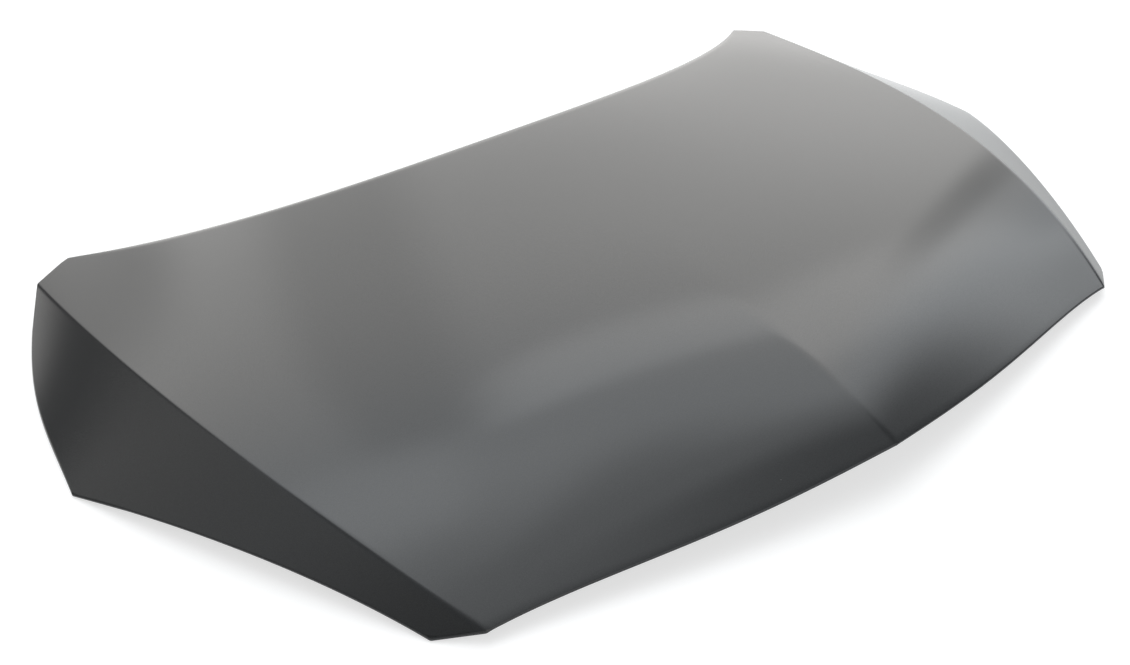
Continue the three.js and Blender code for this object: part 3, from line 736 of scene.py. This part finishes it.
def panel_point(across, along):
    side = min(abs(across), 1)
    front, rear = front_edge(side)[1], rear_edge_y(side * crease_rear[0])
    y = front + (rear - front) * along
    return np.array([np.sign(across) * side * crease_x(y), y])


def fan_point(column, row):
    along = window_front + (window_rear - window_front) * row / window_rows
    return panel_point(window_side * column / window_columns, along)


def swelled_side(start, end):
    outward = np.array([end[1] - start[1], start[0] - end[0]]) / np.linalg.norm(end - start)

    def run(t):
        t = np.asarray(t, float)[..., None]
        return start + (end - start) * t + outward * 4 * window_swell * t * (1 - t)

    return run


cell_corners = ((0, 0), (1, 0), (1, 1), (0, 1))
windows = []
for column in range(-window_columns, window_columns):
    for row in range(window_rows):
        corners = [fan_point(column + across, row + along) for across, along in cell_corners]
        windows.append([(swelled_side(corners[k], corners[(k + 1) % 4]), window_steps) for k in range(4)])


def strips(first, rings, points, faces):
    """Rings of one length joined by bands of faces, face up where each lies inside the last."""
    for k, (plan, height) in enumerate(rings):
        points.append(np.column_stack([plan, height]))
        count = len(plan)
        if k:
            outer, inner = first + (k - 1) * count, first + k * count
            for n in range(count):
                after = (n + 1) % count
                faces.append((outer + n, outer + after, inner + after, inner + n))
    return first + len(rings) * len(rings[0][0])


frame_points, frame_faces = [], []
rim_rings = []
for inset, depth in rounded(rim_profile, bend_radius * 1.5):
    plan = on_ring(outline_ring(inset, np.interp(inset, *rim_radii)), border_where)
    rim_rings.append((plan, frame_height(plan[:, 0], plan[:, 1], depth)))
count = strips(0, rim_rings, frame_points, frame_faces)
window_feet = []
for edges in windows:
    land_rings = []
    for offset, depth in reversed(rounded(land_profile, bend_radius)):
        plan = ring_inside(edges, rib_half_width - offset, min(window_radius + offset, widest_foot_radius))
        land_rings.append((plan, frame_height(plan[:, 0], plan[:, 1], depth)))
    count = strips(count, land_rings, frame_points, frame_faces)
    window_feet.append(land_rings[0][0])

slot_size = (prop_slot_length, 2 * prop_slot_radius)
punched = [circle(hole, pad.hole_radius) for pad in pads for hole in pad.holes]
punched += [circle(fan_point(column, window_rows / 2), rib_hole_radius) for column in range(-2, 3)]
punched.append(box_ring(prop_slot, slot_size, prop_slot_radius - 1e-5, 12))
pressed_lines = []
for pad in pads:
    for grow in np.linspace(0, pad_ramp, 6):
        pressed_lines.append(
            box_ring(pad.centre, (pad.size[0] + 2 * grow, pad.size[1] + 2 * grow), pad_radius + grow)
        )
    for weld in pad.welds:
        pressed_lines += [circle(weld, weld_radius * share, 20) for share in (0.9, 1.1, 1.3, 1.5)]
borders = [np.float32(ring).astype(float) for ring in (rim_rings[-1][0], *window_feet, *punched)]


def within(places, ring):
    """Which places lie inside a closed line."""
    x, y = places[:, :1], places[:, 1:]
    start, end = ring, np.roll(ring, -1, axis=0)
    spans = (start[:, 1] > y) != (end[:, 1] > y)
    rise = np.where(end[:, 1] == start[:, 1], 1, end[:, 1] - start[:, 1])
    crossing = start[:, 0] + (y - start[:, 1]) * (end[:, 0] - start[:, 0]) / rise
    return (spans & (x < crossing)).sum(1) % 2 == 1


def on_floor(places):
    inside_floor = within(places, borders[0])
    for hole in borders[1:]:
        inside_floor &= ~within(places, hole)
    return inside_floor


across = np.arange(-0.70, 0.70, floor_spacing)
along = np.arange(0.05, 0.95, floor_spacing * 0.866)
grid = np.array([(x + floor_spacing / 2 * (k % 2), y) for k, y in enumerate(along) for x in across])
crease_places = np.array([
    (side * (crease_x(y) + shift), y) for y in along for shift in crease_lines for side in (-1, 1)
])
to_crease = np.abs(grid[:, 0]) - crease_x(grid[:, 1])
before, beyond = crease_lines[0] - crease_clearance, crease_lines[-1] + crease_clearance
grid = grid[(to_crease < before) | (to_crease > beyond)]
places = np.vstack([grid, crease_places])
places = places[on_floor(places)]
lines = borders + pressed_lines
line_points = np.vstack(lines)
clear = np.ones(len(places), bool)
for first in range(0, len(places), 1000):
    part = places[first:first + 1000]
    clear[first:first + 1000] = (
        np.hypot(part[:, :1] - line_points[:, 0], part[:, 1:] - line_points[:, 1]).min(1) > line_clearance
    )
places = places[clear]
line_edges = []
start = 0
for line in lines:
    line_edges += [(start + n, start + (n + 1) % len(line)) for n in range(len(line))]
    start += len(line)
plan_points = [Vector(point) for point in np.vstack([line_points, places])]
found, _, found_faces = delaunay_2d_cdt(plan_points, line_edges, [], 0, 1e-7)[:3]
found = np.array([tuple(point) for point in found])
found_faces = np.array(found_faces)
found_faces = found_faces[on_floor(found[found_faces].mean(1))]
frame_points.append(np.column_stack([found, floor_height(found[:, 0], found[:, 1])]))
frame_faces += [tuple(count + corner for corner in face) for face in found_faces]


def finished(piece, sharp):
    """Turns what a piece's modifiers make into its plain mesh."""
    rough = piece.data
    evaluated = piece.evaluated_get(bpy.context.evaluated_depsgraph_get())
    piece.data = bpy.data.meshes.new_from_object(evaluated)
    piece.data.name = piece.name
    piece.modifiers.clear()
    bpy.data.meshes.remove(rough)
    piece.data.shade_smooth()
    piece.data.set_sharp_from_angle(angle=sharp)


inner_frame = mesh_piece("bonnet_frame", np.vstack(frame_points), frame_faces)
welded(inner_frame, distance=3e-5)
sheet = inner_frame.modifiers.new("sheet", "SOLIDIFY")
sheet.thickness = frame_thickness
sheet.offset = -1
sheet.use_even_offset = True
finished(inner_frame, sharp=0.7)

dip_coat, shader = material("dip_coat")
cloud = shader.noise(3.5, detail=3.0)
grain = shader.noise(260.0, detail=2.0)
drawn = shader.noise(9.0, detail=4.0, where=shader.place(stretch=(1, 6, 1)))
shader.surface(
    Base_Color=shader.ramp(drawn, [(0.25, (0.020, 0.021, 0.022)), (0.75, (0.034, 0.035, 0.035))]),
    Roughness=shader.ranged(cloud, 0.0, 1.0, 0.30, 0.52),
    IOR=1.5,
    Normal=shader.bump(grain, 0.00003, 0.35),
)
inner_frame.data.materials.append(dip_coat)
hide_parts("inner_frame")
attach(inner_frame, "root")

# Reinforcing plates: flat blanks of 1.8 mm steel for the hinges and 1.5 mm for the lock. They are
# spot-welded to the inside of the frame's pads, and dipped with it.
plate_coat, shader = material("plate_coat")
cloud = shader.noise(14.0, detail=3.0)
grain = shader.noise(340.0, detail=2.0)
shader.surface(
    Base_Color=shader.ramp(cloud, [(0.3, (0.018, 0.018, 0.019)), (0.7, (0.030, 0.031, 0.032))]),
    Roughness=shader.ranged(cloud, 0.0, 1.0, 0.38, 0.56),
    IOR=1.5,
    Normal=shader.bump(grain, 0.00003, 0.4),
)
for name in ("hinge_plate_left", "hinge_plate_right", "latch_plate"):
    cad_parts[name].data.materials.clear()
    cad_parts[name].data.materials.append(plate_coat)

# Weld nuts: four M8 nuts of zinc-plated steel, chamfered at both ends and welded to the hinge
# plates over their holes. The hinge bolts screw into them from below.
nut_across_flats = 0.013
nut_height = 0.008
nut_chamfer = 0.0011
thread_radii = (0.0040, 0.0034)
thread_pitch = 0.00125
hinge_plate_thickness = 0.0018


def nut_pattern():
    """One nut with its seat at the origin: a chamfered hexagon with a threaded bore."""
    sides, turns = 36, int(nut_height / thread_pitch)
    angles = 2 * np.pi * np.arange(sides) / sides
    from_flat = np.mod(angles, np.pi / 3) - np.pi / 6
    hexagon = nut_across_flats / 2 / np.cos(from_flat)
    round_end = np.full(sides, nut_across_flats / 2 * 1.01)
    section = [(round_end, 0), (hexagon, nut_chamfer)]
    section += [(hexagon, nut_height - nut_chamfer), (round_end, nut_height)]
    for k in range(2 * turns, -1, -1):
        section.append((np.full(sides, thread_radii[k % 2]), nut_height * k / (2 * turns)))
    points, faces = [], []
    for radii, height in section:
        points += [(r * np.cos(a), r * np.sin(a), height) for r, a in zip(np.minimum(radii, hexagon), angles)]
    for k in range(len(section)):
        here, there = k * sides, (k + 1) % len(section) * sides
        for n in range(sides):
            after = (n + 1) % sides
            faces.append((here + n, here + after, there + after, there + n))
    mesh = bpy.data.meshes.new("nut_pattern")
    mesh.from_pydata(points, [], faces)
    return bpy.data.objects.new("nut_pattern", mesh)


class Growth(Shader):
    """A Geometry Nodes tree with named inputs, written down as nested calls."""

    def __init__(self, name, **sizes):
        self.tree = bpy.data.node_groups.new(name, "GeometryNodeTree")
        self.tree.interface.new_socket("Geometry", in_out="INPUT", socket_type="NodeSocketGeometry")
        self.tree.interface.new_socket("Geometry", in_out="OUTPUT", socket_type="NodeSocketGeometry")
        for size, value in sizes.items():
            kind = "NodeSocketInt" if isinstance(value, int) else "NodeSocketFloat"
            self.tree.interface.new_socket(size.replace("_", " "), in_out="INPUT", socket_type=kind)
        self.sizes = sizes
        self.given = self.tree.nodes.new("NodeGroupInput").outputs

    def grow(self, name, mesh, geometry, finish, sharp):
        """Ends the tree, runs it on a mesh and returns the piece that comes out."""
        whole = self.node("GeometryNodeRealizeInstances", Geometry=geometry).outputs[0]
        coated = self.node("GeometryNodeSetMaterial", Geometry=whole, Material=finish).outputs[0]
        self.tree.links.new(coated, self.tree.nodes.new("NodeGroupOutput").inputs[0])
        piece = bpy.data.objects.new(name, mesh)
        bpy.context.collection.objects.link(piece)
        modifier = piece.modifiers.new(name, "NODES")
        modifier.node_group = self.tree
        for socket in self.tree.interface.items_tree:
            key = socket.name.replace(" ", "_")
            if socket.in_out == "INPUT" and key in self.sizes:
                modifier[socket.identifier] = self.sizes[key]
        finished(piece, sharp)
        return piece


def seats(name, points, normals):
    """Bare points with the direction that each instance on them stands up in."""
    mesh = bpy.data.meshes.new(name)
    mesh.from_pydata((np.asarray(points) + (0, nose_y, lower_corner_z)).tolist(), [], [])
    upward = mesh.attributes.new("upward", "FLOAT_VECTOR", "POINT")
    upward.data.foreach_set("vector", np.asarray(normals, float).ravel())
    return mesh


def standing(growth):
    upward = growth.node("GeometryNodeInputNamedAttribute", {"data_type": "FLOAT_VECTOR"}, Name="upward")
    turn = growth.node("FunctionNodeAlignRotationToVector", {"axis": "Z"}, Vector=upward.outputs[0])
    return turn.outputs[0]


zinc, shader = material("zinc")
spangle = shader.noise(900.0, detail=2.0)
cloud = shader.noise(60.0, detail=3.0)
plating = [(0.25, (0.44, 0.45, 0.44)), (0.6, (0.58, 0.58, 0.55)), (0.8, (0.50, 0.49, 0.43))]
shader.surface(
    Base_Color=shader.ramp(cloud, plating),
    Metallic=1.0,
    Roughness=shader.ranged(spangle, 0.2, 0.8, 0.26, 0.44),
    Normal=shader.bump(spangle, 0.00001, 0.5),
)
nut_seats, nut_normals = [], []
for pad in hinge_pads:
    for x, y in pad.holes:
        seat = Vector((x, y, pad.plane(x, y))) + pad.normal * (2 * seat_gap + hinge_plate_thickness)
        nut_seats.append(tuple(seat))
        nut_normals.append(tuple(pad.normal))
nut = nut_pattern()
growth = Growth("weld_nuts", Nut_Scale=1.0)
one_nut = growth.node("GeometryNodeObjectInfo", Object=nut).outputs["Geometry"]
nuts = growth.node(
    "GeometryNodeInstanceOnPoints", Points=growth.given["Geometry"], Instance=one_nut,
    Rotation=standing(growth), Scale=growth.given["Nut Scale"],
)
weld_nuts = growth.grow("weld_nuts", seats("nut_seats", nut_seats, nut_normals), nuts.outputs[0], zinc, 0.5)
bpy.data.objects.remove(nut)
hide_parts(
    *[f"hinge_nut_{side}_{end}" for side in ("left", "right") for end in ("front", "rear")]
)
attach(weld_nuts, "root")

# Striker: a bar of 7.5 mm zinc-plated steel, bent into a loop that the lock's claw holds. Its legs
# go through the pad and the plate, and a weld bead runs round each where it leaves the pad.
bar_radius = 0.00375
bar_bend_radius = 0.010
striker_drop = 0.044
striker_stub = 0.003
latch_plate_thickness = 0.0015
bead_radius = 0.0016
leg_x = striker_leg_spacing / 2
pad_top = lock_pad.plane(*latch_pad)
leg_top = pad_top + seat_gap + latch_plate_thickness + striker_stub
loop_bottom = pad_top - frame_thickness - striker_drop + bar_radius
growth = Growth("striker", Bar_Radius=bar_radius, Bend_Radius=bar_bend_radius, Bend_Steps=10)
bar_line = growth.node("GeometryNodeMeshToCurve", Mesh=growth.given["Geometry"]).outputs[0]
bent = growth.node(
    "GeometryNodeFilletCurve", {"mode": "POLY"}, Curve=bar_line,
    Count=growth.given["Bend Steps"], Radius=growth.given["Bend Radius"],
)
section = growth.node("GeometryNodeCurvePrimitiveCircle", Resolution=28, Radius=growth.given["Bar Radius"])
bar = growth.node(
    "GeometryNodeCurveToMesh", Curve=bent.outputs[0], Profile_Curve=section.outputs[0], Fill_Caps=True
)
bar_mesh = bpy.data.meshes.new("bar_line")
bar_corners = [(-leg_x, leg_top), (-leg_x, loop_bottom), (leg_x, loop_bottom), (leg_x, leg_top)]
bar_points = [(x, latch_pad[1] + nose_y, z + lower_corner_z) for x, z in bar_corners]
bar_mesh.from_pydata(bar_points, [(0, 1), (1, 2), (2, 3)], [])
striker = growth.grow("striker_bar", bar_mesh, bar.outputs[0], zinc, 0.7)
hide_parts("striker_loop")
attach(striker, "root")

weld_metal, shader = material("weld_metal")
scale_marks = shader.noise(700.0, detail=3.0)
cloud = shader.noise(150.0, detail=2.0)
shader.surface(
    Base_Color=shader.ramp(cloud, [(0.3, (0.10, 0.09, 0.08)), (0.7, (0.24, 0.22, 0.20))]),
    Metallic=0.8,
    Roughness=shader.ranged(scale_marks, 0.2, 0.8, 0.42, 0.62),
    Normal=shader.bump(scale_marks, 0.00012, 0.8),
)
growth = Growth(
    "weld_beads", Leg_Radius=bar_radius, Bead_Radius=bead_radius, Bead_Waves=0.0005, Bead_Flatness=0.62
)
from_leg = growth.math("MULTIPLY", growth.given["Bead Radius"], 0.7)
round_leg = growth.math("ADD", growth.given["Leg Radius"], from_leg)
path = growth.node("GeometryNodeCurvePrimitiveCircle", Resolution=56, Radius=round_leg)
section = growth.node("GeometryNodeCurvePrimitiveCircle", Resolution=12, Radius=growth.given["Bead Radius"])
bead = growth.node("GeometryNodeCurveToMesh", Curve=path.outputs[0], Profile_Curve=section.outputs[0])
place = growth.node("GeometryNodeInputPosition").outputs[0]
waves = growth.node("ShaderNodeTexNoise", Vector=place, Scale=520.0, Detail=1.0).outputs["Fac"]
lift = growth.math("MULTIPLY", growth.math("SUBTRACT", waves, 0.5), growth.given["Bead Waves"])
shift = growth.node("ShaderNodeCombineXYZ", X=lift, Y=lift, Z=lift).outputs[0]
lumpy = growth.node("GeometryNodeSetPosition", Geometry=bead.outputs[0], Offset=shift).outputs[0]
flatness = growth.node("ShaderNodeCombineXYZ", X=1.0, Y=1.0, Z=growth.given["Bead Flatness"]).outputs[0]
beads = growth.node(
    "GeometryNodeInstanceOnPoints", Points=growth.given["Geometry"], Instance=lumpy,
    Rotation=standing(growth), Scale=flatness,
)
bead_seats = [(x, y, lock_pad.plane(x, y, -frame_thickness)) for x, y in lock_pad.holes]
bead_mesh = seats("bead_seats", bead_seats, [tuple(lock_pad.normal)] * 2)
weld_beads = growth.grow("weld_beads", bead_mesh, beads.outputs[0], weld_metal, 1.0)
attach(weld_beads, "root")

# Mastic: twenty-four drops of soft anti-flutter mastic, one in the middle of each long side of the
# windows. They were squashed between the land and the skin, and bulge a little.
drop_radius = 0.0058
drop_bulge = 0.16
drop_height = land_depth - skin_thickness - 0.0001
drop_across = rib_half_width - 0.0065
mastic, shader = material("mastic")
grain = shader.noise(500.0, detail=3.0)
cloud = shader.noise(90.0, detail=2.0)
shader.surface(
    Base_Color=shader.ramp(cloud, [(0.3, (0.022, 0.021, 0.020)), (0.7, (0.040, 0.038, 0.035))]),
    Roughness=shader.ranged(cloud, 0.0, 1.0, 0.62, 0.85),
    Normal=shader.bump(grain, 0.00008, 0.7),
)
drop_places = []
for edges in windows:
    for side in (1, 3):
        start, end = edges[side][0](0.0), edges[side][0](1.0)
        way = (end - start) / np.linalg.norm(end - start)
        drop_places.append((start + end) / 2 + drop_across * np.array([-way[1], way[0]]))
drop_places = np.array(drop_places)
x, y = drop_places.T
slope_x, slope_y = slopes(outer_height, x, y)
drop_normals = np.column_stack([-slope_x, -slope_y, np.ones(len(x))])
drop_points = np.column_stack([x, y, under(outer_height, x, y, (land_depth + skin_thickness) / 2)])
growth = Growth(
    "mastic_drops", Drop_Radius=drop_radius, Drop_Height=drop_height, Bulge=drop_bulge, Drop_Seed=7
)
drop = growth.node(
    "GeometryNodeMeshCylinder", Vertices=24, Side_Segments=8, Fill_Segments=2,
    Radius=growth.given["Drop Radius"], Depth=growth.given["Drop Height"],
)
place = growth.node("GeometryNodeInputPosition").outputs[0]
up = growth.node("ShaderNodeSeparateXYZ", Vector=place).outputs["Z"]
share = growth.math("DIVIDE", growth.math("MULTIPLY", up, 2.0), growth.given["Drop Height"])
round_side = growth.math("SUBTRACT", 1.0, growth.math("MULTIPLY", share, share))
swell = growth.math("MULTIPLY_ADD", round_side, growth.given["Bulge"], 1.0)
sides = growth.node("ShaderNodeCombineXYZ", X=swell, Y=swell, Z=1.0).outputs[0]
bulged = growth.node("ShaderNodeVectorMath", {"operation": "MULTIPLY"})
growth.put(bulged.inputs[0], place)
growth.put(bulged.inputs[1], sides)
soft_drop = growth.node("GeometryNodeSetPosition", Geometry=drop.outputs["Mesh"], Position=bulged.outputs[0])
spread = growth.node(
    "FunctionNodeRandomValue", {"data_type": "FLOAT_VECTOR"},
    Min=(0.88, 0.88, 1.0), Max=(1.14, 1.14, 1.0), Seed=growth.given["Drop Seed"],
)
drops = growth.node(
    "GeometryNodeInstanceOnPoints", Points=growth.given["Geometry"], Instance=soft_drop.outputs[0],
    Rotation=standing(growth), Scale=spread.outputs[0],
)
drop_mesh = seats("drop_seats", drop_points, drop_normals)
mastic_drops = growth.grow("mastic_drops", drop_mesh, drops.outputs[0], mastic, 0.8)
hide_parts(*[f"mastic_drop_{number:02d}" for number in range(1, 25)])
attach(mastic_drops, "root")
